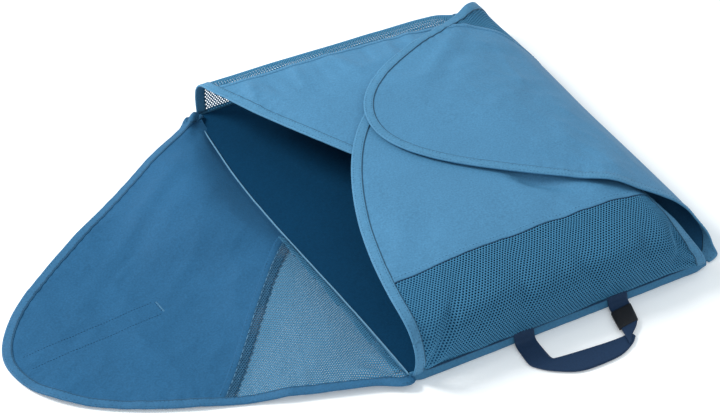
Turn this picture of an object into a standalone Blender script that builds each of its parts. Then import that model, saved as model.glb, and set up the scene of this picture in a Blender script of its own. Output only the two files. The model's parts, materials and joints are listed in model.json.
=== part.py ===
"""Packing folder for folded clothes: a flat base with four fabric flaps.

Each flap is a wall that hinges on one base edge and a cover that hinges on
the top of the wall.  The left flap lies open beside the base; the back, front
and right flaps are closed, in that order from the bottom up.  The flaps are
cut askew.  The front and back flaps are alike in cut, as are the left and right.

Frame: metres, +Z up, +Y towards the back, +X to the right.  The origin is the
centre of the base's underside.  The webbing handle is on the front edge.
"""
import math

import bpy
from mathutils import Matrix, Vector

# ---------------------------------------------------------- driving dimensions
MM = 0.001
BASE_W = 305 * MM            # base, left to right
BASE_L = 410 * MM            # base, front to back
GAP = 0.3 * MM               # clearance between neighbouring pieces

SHEET = 1.2 * MM             # sewn fabric panel
TAPE = 1.8 * MM              # folded binding tape, over the panel's edge
TAPE_W = 10 * MM

HINGE_OUT = 0.4 * MM         # base fold lines, outside the base edges
HINGE_Z = 6.0 * MM           # height of the base fold lines
INNER_FACE = -0.3 * MM       # a wall's inner face, from its fold line
WALL_START = 0.5 * MM        # base fold line to the wall's fabric
FOLD_GAP = 0.4 * MM          # top fold line to the fabric on either side of it

WALL_BACK = 55.0 * MM        # fold line to fold line, up each wall
WALL_FRONT = 58.5 * MM
WALL_RIGHT = 62.0 * MM
WALL_LEFT = 66.0 * MM

CORNER_INSET = 1 * MM               # a flap's corner, in from the base corner
SIDE_TIP = (-29 * MM, 291 * MM)     # rounded tip of a side flap, in its flat pattern
END_REACH = 285 * MM                # an end flap's cover, from the top fold to its tip
CURVE_STEPS = 16
FRONT_MESH = 56 * MM                # mesh on the covers, before the solid fabric
BACK_MESH = 26 * MM

# Seams between mesh and solid fabric, as (u, d) of the flat pattern:
# at the base fold, at the top fold, near the flap's edge.
LEFT_SEAM = ((13 * MM, 0), (-56 * MM, WALL_LEFT), (-143.5 * MM, 150 * MM))
RIGHT_SEAM = ((-62 * MM, 0), (-126 * MM, WALL_RIGHT), (-153 * MM, 150 * MM))

# Hook and loop closure: middle lines, as (u, d) of the flat pattern.
CLOSURE_W = 20 * MM
CLOSURE_T = 0.8 * MM
LOOP_LINE = ((-21 * MM, 147 * MM), (-32 * MM, 278 * MM))    # left flap
HOOK_LINE = ((32 * MM, 156 * MM), (25 * MM, 238 * MM))      # right flap

# Base layers, from the floor up, and the taller strips round them.
BOARD_T = 1.6 * MM
LINING_T = 1.0 * MM
CORE_R = 6 * MM              # corner radius of the bottom panel and the lining
BOARD_SHRINK = 8 * MM        # how much smaller the board is, overall
BOARD_R = 14 * MM
BASE_EDGE_H = 5.2 * MM
BASE_EDGE_W = 5.0 * MM

STRAP_W = 20 * MM            # handle webbing
STRAP_T = 1.2 * MM
STRAP_Z = 0.9 * MM           # underside of the webbing
STRAP_ROOT = 4.0 * MM        # handle's fold, outside the base edge
# Middle line of the handle from left to right: x, and y from its fold.
HANDLE_LINE = [(-42 * MM, 0), (-43 * MM, -34 * MM), (-29 * MM, -47 * MM),
               (24 * MM, -48.5 * MM), (46 * MM, -31 * MM), (55 * MM, 0)]

LABEL_L = 17 * MM            # label sleeve, along the webbing
LABEL_SIDE = 0.9 * MM        # its outside, beyond the webbing's edges
LABEL_FACE = 0.8 * MM        # its outside, beyond the webbing's faces
LABEL_AT = 0.40              # its place, as a fraction along the handle's right leg

# ----------------------------------------------------------------- empty scene
for old in list(bpy.data.objects):
    bpy.data.objects.remove(old, do_unlink=True)
PARTS = bpy.data.collections.new("packing_folder")
bpy.context.scene.collection.children.link(PARTS)


# ------------------------------------------------------------------- materials
def material(name, colour, roughness):
    mat = bpy.data.materials.new(name)
    mat.use_nodes = True
    bsdf = mat.node_tree.nodes["Principled BSDF"]
    bsdf.inputs["Base Color"].default_value = (*colour, 1.0)
    bsdf.inputs["Roughness"].default_value = roughness
    return mat


OUTER = material("ripstop_blue", colour=(0.102, 0.296, 0.515), roughness=0.62)
INNER = material("coated_inside_blue", colour=(0.040, 0.165, 0.352), roughness=0.55)
MESH = material("mesh_navy", colour=(0.045, 0.105, 0.205), roughness=0.75)
BINDING = material("binding_blue", colour=(0.085, 0.250, 0.450), roughness=0.60)
LINING = material("base_lining_navy", colour=(0.004, 0.060, 0.155), roughness=0.60)
PIPING = material("piping_blue", colour=(0.150, 0.330, 0.500), roughness=0.60)
WEBBING = material("webbing_navy", colour=(0.012, 0.040, 0.115), roughness=0.70)
LABEL = material("label_black", colour=(0.010, 0.010, 0.012), roughness=0.55)
BOARD = material("board_grey", colour=(0.42, 0.44, 0.46), roughness=0.40)
CLOSURE = material("closure_navy", colour=(0.020, 0.055, 0.125), roughness=0.85)


# --------------------------------------------------------------- making pieces
def plate(name, outline, z0, z1, mat, parent=None, holes=()):
    """A flat outline with a thickness, from z0 to z1 in its parent's frame."""
    curve = bpy.data.curves.new(name, "CURVE")
    curve.dimensions = "2D"
    curve.fill_mode = "BOTH"
    curve.extrude = (z1 - z0) / 2
    for points in (outline, *holes):
        spline = curve.splines.new("POLY")
        spline.points.add(len(points) - 1)
        for target, (x, y) in zip(spline.points, points):
            target.co = (x, y, 0, 1)
        spline.use_cyclic_u = True
    curve.materials.append(mat)
    obj = bpy.data.objects.new(name, curve)
    PARTS.objects.link(obj)
    obj.parent = parent
    obj.location = (0, 0, (z0 + z1) / 2)
    return obj


def hinge(name, location, rotation=(0, 0, 0), parent=None):
    """An empty that carries the pieces turning about it."""
    obj = bpy.data.objects.new(name, None)
    obj.empty_display_size = 0.02
    PARTS.objects.link(obj)
    obj.parent = parent
    obj.location = location
    obj.rotation_euler = rotation
    return obj


# ------------------------------------------------------------ outline geometry
def rect(x0, y0, x1, y1):
    return [(x0, y0), (x1, y0), (x1, y1), (x0, y1)]


def rounded_rect(width, length, radius, steps=6):
    """A centred rectangle with rounded corners, anticlockwise."""
    points = []
    for sx, sy, first in ((1, 1, 0), (-1, 1, 90), (-1, -1, 180), (1, -1, 270)):
        for i in range(steps + 1):
            angle = math.radians(first + 90 * i / steps)
            points.append((sx * (width / 2 - radius) + radius * math.cos(angle),
                           sy * (length / 2 - radius) + radius * math.sin(angle)))
    return points


def bezier(p0, p1, p2, p3):
    """CURVE_STEPS + 1 points along a cubic curve."""
    points = []
    for i in range(CURVE_STEPS + 1):
        t = i / CURVE_STEPS
        weights = ((1 - t) ** 3, 3 * (1 - t) ** 2 * t, 3 * (1 - t) * t * t, t ** 3)
        points.append(tuple(sum(w * p for w, p in zip(weights, axis))
                            for axis in zip(p0, p1, p2, p3)))
    return points


def shifted(line, distance):
    """An open line moved to its right-hand side, with mitred corners."""
    vectors = [Vector(p) for p in line]
    dirs = [(b - a).normalized() for a, b in zip(vectors, vectors[1:])]
    points = []
    for i, point in enumerate(vectors):
        normals = [Vector((d.y, -d.x)) for d in dirs[max(0, i - 1):i + 1]]
        mitre = sum(normals, Vector((0, 0))).normalized()
        # the 0.5 keeps sharp corners from running away
        points.append(tuple(point + mitre * (distance / max(0.5, mitre.dot(normals[0])))))
    return points


def strip(middle, width):
    """The outline of a band of even width along a middle line."""
    return shifted(middle, width / 2) + shifted(middle, -width / 2)[::-1]


def cut(poly, a, b):
    """The part of a polygon on the left-hand side of the line a to b."""
    nx, ny = a[1] - b[1], b[0] - a[0]
    sides = [(x - a[0]) * nx + (y - a[1]) * ny for x, y in poly]
    points = []
    for i, p in enumerate(poly):
        j = (i + 1) % len(poly)
        q, s, t = poly[j], sides[i], sides[j]
        if s >= 0:
            points.append(p)
        if (s > 0 > t) or (s < 0 < t):
            k = s / (s - t)
            points.append((p[0] + k * (q[0] - p[0]), p[1] + k * (q[1] - p[1])))
    return points


def beyond(poly, d):
    """The part of a flat pattern further out than d."""
    return cut(poly, (-1, d), (1, d))


def within(poly, d):
    """The part of a flat pattern nearer the base than d."""
    return cut(poly, (1, d), (-1, d))


# --------------------------------------------------------------- flat patterns
# A flap's flat pattern is drawn in (u, d): u along the fold line, d away from
# the base.  Each edge line runs from the low end of u, round the tip, to the
# high end, so that its right-hand side is the flap's inside.
def side_edge():
    high = BASE_L / 2
    low = -high
    tip_u, tip_d = SIDE_TIP
    # the middle two points of each curve set the askew cut
    return (bezier((low + CORNER_INSET, 0), (low + 58 * MM, 0.58 * tip_d),
                   (tip_u - 78 * MM, tip_d), SIDE_TIP)
            + bezier(SIDE_TIP, (tip_u + 68 * MM, tip_d),
                     (high - 98 * MM, 0.57 * tip_d), (high - CORNER_INSET, 0))[1:])


def end_edge(wall):
    half = BASE_W / 2 - CORNER_INSET
    tip = wall + END_REACH
    # straight up both ends of the wall, then an askew curve each side of the tip
    return ([(-half, 0.0)]
            + bezier((-half, wall + 14 * MM), (-half, wall + 55 * MM),
                     (-62 * MM, tip - 4 * MM), (0, tip))
            + bezier((0, tip), (75 * MM, tip),
                     (half, wall + 130 * MM), (half, wall + CORNER_INSET))[1:]
            + [(half, 0.0)])


def lengthened(line):
    """An edge line run on past the fold line, so that it can be trimmed."""
    def run_on(end, previous):
        step = (Vector(end) - Vector(previous)).normalized() * (20 * MM)
        return (end[0] + step.x, end[1] + step.y)
    return [run_on(line[0], line[1]), *line, run_on(line[-1], line[-2])]


def cloth_outline(edge):
    """The fabric inside the binding; the edge is lengthened already."""
    return shifted(edge, TAPE_W + GAP)


def tape_outline(edge, keep=lambda point: True):
    """The binding, from the flap's edge to its inner edge, where keep is true."""
    inner = shifted(edge, TAPE_W)
    return [p for p in edge if keep(p)] + [p for p in inner if keep(p)][::-1]


def wall_part(pattern, wall):
    return within(beyond(pattern, WALL_START), wall - FOLD_GAP)


def cover_part(pattern, wall):
    return beyond(pattern, wall + FOLD_GAP)


def from_top_fold(points, wall):
    """Flat pattern points, with d measured from the top fold."""
    return [(u, d - wall) for u, d in points]


def seam_part(poly, a, b, solid):
    """The solid fabric is on the right of the seam a to b, the mesh on the left."""
    a, b = Vector(a), Vector(b)
    along = (b - a).normalized()
    offset = Vector((along.y, -along.x)) * (GAP / 2 if solid else -GAP / 2)
    p, q = tuple(a + offset), tuple(b + offset)
    return cut(poly, q, p) if solid else cut(poly, p, q)


# ----------------------------------------------------------------------- flaps
def hinged_binding(side, yaw, base_span, wall, fold, edge):
    """A flap's hinges and binding; returns its wall hinge and cover hinge.

    base_span is the base's size across the flap's fold line.
    """
    at = Matrix.Rotation(yaw, 3, "Z") @ Vector((0, base_span / 2 + HINGE_OUT, 0))
    base = hinge(side + "_flap_yaw", (at.x, at.y, HINGE_Z), (0, 0, yaw))
    lower = hinge(side + "_wall_hinge", (0, 0, 0), (fold, 0, 0), base)
    upper = hinge(side + "_flap_hinge", (0, wall, INNER_FACE), (fold, 0, 0), lower)

    legs = (("near", lambda point: point[0] < 0), ("far", lambda point: point[0] >= 0))
    for leg, keep in legs:
        plate(f"{side}_wall_binding_{leg}", wall_part(tape_outline(edge, keep), wall),
              INNER_FACE - TAPE, INNER_FACE, BINDING, lower)
    cover = from_top_fold(cover_part(tape_outline(edge), wall), wall)
    plate(side + "_flap_binding", cover, -TAPE, 0, BINDING, upper)
    return lower, upper


def side_flap(side, yaw, wall, is_open, seam):
    """A left or right flap, mesh and solid fabric meeting at a slanting seam."""
    edge = lengthened(side_edge())
    fold = 0 if is_open else math.radians(90)
    lower, upper = hinged_binding(side, yaw, BASE_W, wall, fold, edge)
    cloth = cloth_outline(edge)
    solid_mat = INNER if is_open else OUTER
    for fabric, solid, mat in (("panel", True, solid_mat), ("mesh", False, MESH)):
        plate(f"{side}_wall_{fabric}", seam_part(wall_part(cloth, wall), *seam[:2], solid),
              INNER_FACE - SHEET, INNER_FACE, mat, lower)
        cover = seam_part(cover_part(cloth, wall), *seam[1:], solid)
        plate(f"{side}_flap_{fabric}", from_top_fold(cover, wall), -SHEET, 0, mat, upper)
    return upper


def end_flap(side, yaw, wall, mesh_reach):
    """A front or back flap: a mesh wall, and a cover of mesh then fabric."""
    edge = lengthened(end_edge(wall))
    lower, upper = hinged_binding(side, yaw, BASE_L, wall, math.radians(90), edge)
    cloth = cloth_outline(edge)
    plate(side + "_wall_mesh", wall_part(cloth, wall),
          INNER_FACE - SHEET, INNER_FACE, MESH, lower)
    seam = wall + mesh_reach
    mesh = within(cover_part(cloth, wall), seam)
    plate(side + "_flap_mesh", from_top_fold(mesh, wall), -SHEET, 0, MESH, upper)
    panel = beyond(cloth, seam + GAP)
    plate(side + "_flap_panel", from_top_fold(panel, wall), -SHEET, 0, OUTER, upper)


def closure_tape(name, line, wall, z0, cover):
    outline = strip(from_top_fold(line, wall), CLOSURE_W)
    plate(name, outline, z0, z0 + CLOSURE_T, CLOSURE, cover)


# ------------------------------------------------------------------------ base
def base():
    half_w, half_l = BASE_W / 2, BASE_L / 2
    core_w, core_l = (size - 2 * (BASE_EDGE_W + GAP) for size in (BASE_W, BASE_L))
    core = rounded_rect(core_w, core_l, CORE_R)
    board_z = SHEET + GAP
    lining_z = board_z + BOARD_T + GAP
    plate("bottom_panel", core, 0, SHEET, OUTER)
    plate("base_board", rounded_rect(core_w - BOARD_SHRINK, core_l - BOARD_SHRINK, BOARD_R),
          board_z, board_z + BOARD_T, BOARD)
    plate("base_lining", core, lining_z, lining_z + LINING_T, LINING)

    for side, y in (("front", -half_l), ("back", half_l - BASE_EDGE_W)):
        plate(side + "_base_binding", rect(-half_w, y, half_w, y + BASE_EDGE_W),
              0, BASE_EDGE_H, BINDING)
    piping_y = half_l - BASE_EDGE_W - GAP
    for side, x in (("left", -half_w), ("right", half_w - BASE_EDGE_W)):
        plate(side + "_base_piping", rect(x, -piping_y, x + BASE_EDGE_W, piping_y),
              0, BASE_EDGE_H, PIPING)


# ---------------------------------------------------------------------- handle
def handle_label(swing):
    """A sleeve round the right leg of the handle."""
    start, end = (Vector((*p, 0)) for p in HANDLE_LINE[-2:])
    leg = end - start
    x, y = STRAP_W / 2 + LABEL_SIDE, STRAP_T / 2 + LABEL_FACE
    hole_x, hole_y = STRAP_W / 2 + GAP, STRAP_T / 2 + GAP
    sleeve = plate("handle_label", rect(-x, -y, x, y), -LABEL_L / 2, LABEL_L / 2, LABEL,
                   swing, holes=[rect(-hole_x, -hole_y, hole_x, hole_y)])
    sleeve.location = start + leg * LABEL_AT
    sleeve.rotation_euler = (math.radians(90), 0, math.atan2(leg.y, leg.x) - math.radians(90))


def handle():
    root_y = -(BASE_L / 2 + STRAP_ROOT)
    swing = hinge("handle_hinge", (0, root_y, STRAP_Z + STRAP_T / 2))
    webbing = within(strip(HANDLE_LINE, STRAP_W), -GAP)
    plate("handle_webbing", webbing, -STRAP_T / 2, STRAP_T / 2, WEBBING, swing)
    handle_label(swing)
    # short pieces between the handle's fold and the base edge
    for side, (x, _) in (("left", HANDLE_LINE[0]), ("right", HANDLE_LINE[-1])):
        outline = rect(x - STRAP_W / 2, root_y + 3 * GAP, x + STRAP_W / 2, -BASE_L / 2 - GAP)
        plate("handle_anchor_" + side, outline, STRAP_Z, STRAP_Z + STRAP_T, WEBBING)


# -------------------------------------------------------------------- assembly
base()
left = side_flap("left", math.radians(90), WALL_LEFT, is_open=True, seam=LEFT_SEAM)
right = side_flap("right", math.radians(-90), WALL_RIGHT, is_open=False, seam=RIGHT_SEAM)
# loop on the left cover's outer face, hook on the right cover's inner face
closure_tape("left_loop_tape", LOOP_LINE, WALL_LEFT, -SHEET - GAP - CLOSURE_T, left)
closure_tape("right_hook_tape", HOOK_LINE, WALL_RIGHT, GAP, right)
end_flap("front", math.radians(180), WALL_FRONT, FRONT_MESH)
end_flap("back", 0.0, WALL_BACK, BACK_MESH)
handle()

bpy.context.view_layer.update()
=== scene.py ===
# Packing folder: a flat base with four flaps hinged round it.  The right, front and back
# flaps are closed over a load, and the left one lies open on the floor.
# +X is right, +Y is back and +Z is up; the base is centred on the origin, on the floor.
#
# Lengths are in millimetres.  Every cloth piece is drawn in its flap's flat pattern
# (`along` the fold line, `reach` out from the base) and laid on the flap's shape at rest.
# Seen from outside the flaps, `along` runs towards the front on the right flap, the left on
# the front flap, the right on the back flap and the back on the left flap.
import json
import math
import bpy
import numpy as np
from mathutils import Matrix, Vector
from mathutils.geometry import delaunay_2d_cdt


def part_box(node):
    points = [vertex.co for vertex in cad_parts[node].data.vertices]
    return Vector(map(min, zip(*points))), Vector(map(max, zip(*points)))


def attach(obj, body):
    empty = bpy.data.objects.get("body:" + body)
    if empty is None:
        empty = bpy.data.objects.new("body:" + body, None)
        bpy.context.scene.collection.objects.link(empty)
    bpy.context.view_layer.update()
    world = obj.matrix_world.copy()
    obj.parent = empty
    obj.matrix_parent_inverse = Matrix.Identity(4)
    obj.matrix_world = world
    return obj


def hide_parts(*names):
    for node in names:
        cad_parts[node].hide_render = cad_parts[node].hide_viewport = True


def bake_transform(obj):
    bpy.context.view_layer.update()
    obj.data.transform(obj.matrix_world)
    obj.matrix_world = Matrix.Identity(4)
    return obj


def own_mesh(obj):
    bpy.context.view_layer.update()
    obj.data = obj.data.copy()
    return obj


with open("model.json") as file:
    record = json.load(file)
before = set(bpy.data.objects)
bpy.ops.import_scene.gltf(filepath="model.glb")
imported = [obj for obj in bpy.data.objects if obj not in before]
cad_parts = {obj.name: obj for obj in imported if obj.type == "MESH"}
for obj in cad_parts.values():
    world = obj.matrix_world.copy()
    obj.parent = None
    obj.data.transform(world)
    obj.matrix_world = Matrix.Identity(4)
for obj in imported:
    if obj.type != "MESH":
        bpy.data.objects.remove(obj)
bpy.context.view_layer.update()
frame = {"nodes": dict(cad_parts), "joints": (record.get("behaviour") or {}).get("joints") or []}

MM = 0.001


# ------------------------------------------------------------ sizes from the frame
def cad_box(node):
    """A CAD piece's low and high corners."""
    low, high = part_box(node)
    return np.array(low) / MM, np.array(high) / MM


def metres(*point):
    return tuple(value * MM for value in point)


HALF_WIDTH = round(cad_box("front_base_binding")[1][0], 2)
HALF_LENGTH = round(cad_box("right_base_piping")[1][1], 2) + 5.3
HINGE_GAP = 0.4                                # the flaps hinge this far outside the base
HINGE_X = HALF_WIDTH + HINGE_GAP
HINGE_Y = HALF_LENGTH + HINGE_GAP
JOINT = {joint["name"]: joint["pos_m"] for joint in frame["joints"]}
HINGE_Z = JOINT["front_wall_fold"][2] / MM
COVER_Z = {side: JOINT[side + "_cover_fold"][2] / MM for side in ("front", "back", "right")}
WALL = {side: COVER_Z[side] - HINGE_Z for side in COVER_Z}       # height of each wall
WALL["left"] = abs(JOINT["left_cover_fold"][0] - JOINT["left_wall_fold"][0]) / MM


# -------------------------------------------------------------------- small maths
def smooth(x, start, end):
    """Eases from 0 at start to 1 at end."""
    t = np.clip((np.asarray(x, float) - start) / (end - start), 0, 1)
    return t * t * (3 - 2 * t)


def cell_value(i, j, seed):
    value = np.sin(i * 127.1 + j * 311.7 + seed * 74.7) * 43758.5453
    return value - np.floor(value)


def noise(x, y, seed):
    """Smooth value noise, -1 to 1."""
    x, y = np.asarray(x, float), np.asarray(y, float)
    i, j = np.floor(x), np.floor(y)
    x, y = x - i, y - j
    x, y = x * x * (3 - 2 * x), y * y * (3 - 2 * y)
    near = cell_value(i, j, seed) * (1 - x) + cell_value(i + 1, j, seed) * x
    far = cell_value(i, j + 1, seed) * (1 - x) + cell_value(i + 1, j + 1, seed) * x
    return (near * (1 - y) + far * y) * 2 - 1


def hill(x, y, middle_x, middle_y, radius_x, radius_y, degrees=0.0):
    """A soft oval hill, 1 at its middle."""
    cos, sin = math.cos(math.radians(degrees)), math.sin(math.radians(degrees))
    x, y = x - middle_x, y - middle_y
    return np.exp(-((x * cos + y * sin) / radius_x) ** 2 - ((-x * sin + y * cos) / radius_y) ** 2)


def hills(x, y, rows):
    """Adds up hills: rows of (height, middle x, middle y, radius x, radius y, degrees)."""
    return sum(height * hill(x, y, *shape) for height, *shape in rows)


def crumple(x, y, seed, size):
    """Soft creases: ridged noise, about -0.5 to 0.5."""
    warp = 0.35 * noise(x / 50, y / 50, seed + 7)
    wide = 1 - np.abs(noise(x / size + warp, y / size * 0.8, seed))
    fine = 1 - np.abs(noise((x + 0.6 * y) / (size * 0.55), (y - 0.6 * x) / (size * 0.9), seed + 1))
    return 0.65 * (wide * wide - 0.45) + 0.35 * (fine * fine - 0.45)


def fan(x, y, corner, folds, radius, spread, phase):
    """Folds running out of a sewn corner, strongest at a radius from it."""
    x, y = x - corner[0], y - corner[1]
    away, angle = np.hypot(x, y), np.arctan2(y, x)
    wave = np.cos(folds * angle + phase + 0.02 * away)
    return wave * np.exp(-((away - radius) / spread) ** 2) * smooth(away, 2, 16)


# -------------------------------------------------------------------- plane lines
def bezier(start, pull_start, pull_end, end):
    t = np.linspace(0, 1, 61)[:, None]
    start, pull_start, pull_end, end = map(np.array, (start, pull_start, pull_end, end))
    return ((1 - t) ** 3 * start + 3 * (1 - t) ** 2 * t * pull_start
            + 3 * (1 - t) * t * t * pull_end + t ** 3 * end)


def catmull(points, steps=24):
    """A smooth line through a few points."""
    knots = np.array(points, float)
    knots = np.vstack([2 * knots[0] - knots[1], knots, 2 * knots[-1] - knots[-2]])
    t = np.linspace(0, 1, steps, endpoint=False)[:, None]
    line = []
    for i in range(1, len(knots) - 2):
        before, start, end, after = knots[i - 1:i + 3]
        line.append(0.5 * (2 * start + (end - before) * t
                           + (2 * before - 5 * start + 4 * end - after) * t ** 2
                           + (3 * start - 3 * end + after - before) * t ** 3))
    line.append(knots[-2][None])
    return np.vstack(line)


def arc_length(line):
    """Distance run at each point of a line."""
    return np.concatenate([[0], np.cumsum(np.linalg.norm(np.diff(line, axis=0), axis=1))])


def sample(where, run, values):
    """Rows of values at given distances."""
    return np.stack([np.interp(where, run, values[:, k]) for k in range(values.shape[1])], 1)


def resample(line, step):
    run = arc_length(line)
    count = max(2, int(round(run[-1] / step)) + 1)
    return sample(np.linspace(0, run[-1], count), run, line)


def resample_loop(poly, step):
    return resample(np.vstack([poly, poly[:1]]), step)[:-1]


def unit(vector):
    return vector / np.linalg.norm(vector)


def right_normals(line):
    """Unit vectors to the right-hand side of an open line."""
    tangent = np.gradient(line, axis=0)
    tangent /= np.linalg.norm(tangent, axis=1)[:, None] + 1e-12
    return np.stack([tangent[:, 1], -tangent[:, 0]], 1)


def inside(poly, points):
    x, y = points[:, 0], points[:, 1]
    result = np.zeros(len(points), bool)
    for i in range(len(poly)):
        x0, y0, x1, y1 = *poly[i], *poly[i - 1]
        crosses = (y0 > y) != (y1 > y)
        if crosses.any():
            result ^= crosses & (x < (x1 - x0) * (y - y0) / (y1 - y0 + 1e-12) + x0)
    return result


def line_distance(line, points, closed=True):
    starts = line if closed else line[:-1]
    ends = np.roll(line, -1, 0) if closed else line[1:]
    best = np.full(len(points), 1e9)
    for start, end in zip(starts, ends):
        way = end - start
        t = np.clip(((points - start) @ way) / (way @ way + 1e-12), 0, 1)
        best = np.minimum(best, np.linalg.norm(points - start - t[:, None] * way, axis=1))
    return best


# ------------------------------------------------------------------ flap outlines
def side_outline():
    """Left and right flaps' edge, a leaf with its tip a little off the middle."""
    tip_along, tip = -29.0, 291.0
    return np.vstack([
        bezier((-HALF_LENGTH + 1, 0), (-HALF_LENGTH + 58, 0.58 * tip),
               (tip_along - 78, tip), (tip_along, tip)),
        bezier((tip_along, tip), (tip_along + 68, tip),
               (HALF_LENGTH - 98, 0.57 * tip), (HALF_LENGTH - 1, 0))[1:]])


def end_outline(wall):
    """Front and back flaps' edge: upright beside the wall, then a leaf."""
    half, tip = HALF_WIDTH - 1, wall + 285
    return np.vstack([[(-half, 0.0)],
                      bezier((-half, wall + 14), (-half, wall + 55), (-62, tip - 4), (0, tip)),
                      bezier((0, tip), (75, tip), (half, wall + 130), (half, wall + 1))[1:],
                      [(half, 0.0)]])


OUTLINE = {"left": side_outline(), "right": side_outline(),
           "front": end_outline(WALL["front"]), "back": end_outline(WALL["back"])}


# ------------------------------------------------------------------- closed shape
def load_height(x, y):
    """Height of the closed load: crowned, and lower towards the back right."""
    across, back = np.clip(x / HALF_WIDTH, -1.05, 1.05), np.clip(y / HALF_LENGTH, -1.05, 1.05)
    front_left, front_right, back_left, back_right = 59.0, 57.0, 55.5, 46.0
    crown = 15.0
    z = ((front_left * (1 - across) + front_right * (1 + across)) * (1 - back)
         + (back_left * (1 - across) + back_right * (1 + across)) * (1 + back)) / 4
    z = z + (crown * np.clip(1 - np.abs(across) ** 2.3, 0, 1)
             * np.clip(1 - np.abs(back) ** 2.3, 0, 1))
    return z + 0.7 * noise(x / 62, y / 62, 5) + 0.4 * noise(x / 27, y / 27, 9)


class Pucker:
    """Short folds where the edge tape gathers the cloth, strongest about a tape's width in."""

    WAVE = 12.5
    BATCH = 20000                              # points worked out at once, to save memory

    def __init__(self, edge, seed, size=0.55):
        self.edge = resample(edge, 3.0).astype(np.float32)
        self.run = arc_length(self.edge)
        self.seed, self.size = seed, size

    def __call__(self, along, reach):
        points = np.stack([along, reach], 1).astype(np.float32)
        result = np.zeros(len(points))
        for i in range(0, len(points), self.BATCH):
            result[i:i + self.BATCH] = self.height(points[i:i + self.BATCH])
        return result

    def height(self, points):
        edge = self.edge
        square = (points[:, :1] - edge[:, 0]) ** 2 + (points[:, 1:] - edge[:, 1]) ** 2
        nearest = square.argmin(1)
        distance = np.sqrt(square[np.arange(len(points)), nearest])
        middle = np.clip(nearest, 1, len(edge) - 2)
        tangent = edge[middle + 1] - edge[middle - 1]
        tangent /= np.linalg.norm(tangent, axis=1)[:, None]
        run = self.run[nearest] + ((points - edge[nearest]) * tangent).sum(1)
        # size and spacing wander along the edge; the folds start 3 in, and fade beyond 11
        size = self.size * (0.55 + 0.65 * noise(run / 41.0, 0.5, self.seed))
        phase = 2 * math.pi * run / self.WAVE + 2.6 * noise(run / 33.0, 2.5, self.seed + 3)
        fade = np.clip((distance - 3) / 8.0, 0, 1) * np.exp(-np.clip(distance - 11, 0, None) / 11.0)
        return size * np.sin(phase) * fade


class Surface:
    """A flap's shape: place() gives the middle of its cloth for points of the pattern."""

    def at(self, along, reach, lift):
        """Points on the cloth, lifted towards its inner face."""
        step = 0.6
        normal = np.cross(self.place(along + step, reach) - self.place(along - step, reach),
                          self.place(along, reach + step) - self.place(along, reach - step))
        normal /= np.linalg.norm(normal, axis=1)[:, None] + 1e-12
        return self.place(along, reach) + normal * lift[:, None]


class ClosedFlap(Surface):
    """A flap closed over the load, following a profile of wall, shoulder and cover.

    The layer is its height above the lowest flap.  The pattern is scaled to the profile
    as far as the shoulder's end, and by cover_scale beyond it.
    """

    SHOULDER = 50                              # where the shoulder ends, in from the fold
    LOWEST = 1.5

    def __init__(self, side, origin, outward, sideways, profile, layer, seed,
                 cover_scale=1.0, load=58.0):
        self.origin, self.outward = np.array(origin), np.array(outward)
        self.sideways = np.array(sideways)
        self.layer, self.cover_scale, self.seed = layer, cover_scale, seed
        self.cap = COVER_Z[side] + 4.6
        self.pucker = Pucker(OUTLINE[side], seed)
        curve = catmull(profile)
        self.run = arc_length(curve * np.array([1, load]))
        self.out, self.share = curve[:, 0], curve[:, 1]
        self.pattern_end = WALL[side] + self.SHOULDER
        half = len(curve) // 2
        self.run_end = float(np.interp(self.SHOULDER, -self.out[half:], self.run[half:]))

    def profile_run(self, reach):
        """Distance along the profile, for a distance in the flat pattern."""
        return np.where(reach < self.pattern_end, reach * (self.run_end / self.pattern_end),
                        self.run_end + (reach - self.pattern_end) * self.cover_scale)

    def place(self, along, reach):
        run = self.profile_run(reach)
        out = np.interp(run, self.run, self.out) - np.clip(run - self.run[-1], 0, None)
        share = np.interp(run, self.run, self.share)
        out, share = self.shape(along, run, out, share)
        flat = self.origin + np.outer(along, self.sideways) + np.outer(out, self.outward)
        x, y = flat[:, 0], flat[:, 1]
        z = load_height(x, y) * share + self.layer * smooth(share, 0.2, 0.95)
        z = z + np.minimum(run, 0)
        # puckers, wide creases and fine creases, on the cover only
        z = z + smooth(run, 46, 84) * (self.pucker(along, reach)
                                       + 2.0 * crumple(x, y, self.seed, size=44)
                                       + 0.6 * crumple(x, y, self.seed + 4, size=19))
        x, y, z = self.tune(along, reach, run, x, y, z)
        # a soft ceiling, then a hard floor
        softness = 1.4
        over = (z - self.cap) / softness
        ceiling = self.cap - softness * np.log1p(np.exp(-np.clip(over, -8, 40)))
        z = np.where(over > -6, ceiling, z)
        return np.stack([x, y, np.maximum(z, self.LOWEST)], 1)

    def split(self):
        """Where the wall crosses the fold's own plane again, in the flat pattern."""
        peak = int(np.argmax(self.out))
        j = peak + int(np.argmax(self.out[peak:] < 0))
        t = self.out[j - 1] / (self.out[j - 1] - self.out[j])
        crossing = self.run[j - 1] + t * (self.run[j] - self.run[j - 1])
        return float(crossing * self.pattern_end / self.run_end)

    def shape(self, along, run, out, share):
        """A flap's own changes to its profile."""
        return out, share


# Profiles: (distance out from the hinge, share of the load's height).  The right wall sags
# outwards; the others are nearly upright with round shoulders.
RIGHT_PROFILE = [(0.6, .07), (9, .13), (15, .26), (14, .42), (8, .58),
                 (-1, .72), (-13, .84), (-32, .94), (-58, .99), (-90, 1.0)]
FRONT_PROFILE = [(1.4, .10), (4.2, .24), (5.0, .42), (3.0, .60), (-3, .76),
                 (-13, .885), (-30, .965), (-54, .995), (-85, 1.0)]
BACK_PROFILE = [(1.0, .12), (2.5, .28), (3, .46), (1, .64), (-5, .79),
                (-15, .90), (-31, .97), (-54, .995), (-85, 1.0)]


def right_drop(x):
    """How far the load's right shoulder falls away, as a share of its height."""
    curve = catmull(RIGHT_PROFILE)
    curve = curve[len(curve) // 3:]
    return np.interp(HALF_WIDTH - x, -curve[:, 0], curve[:, 1])


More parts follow.
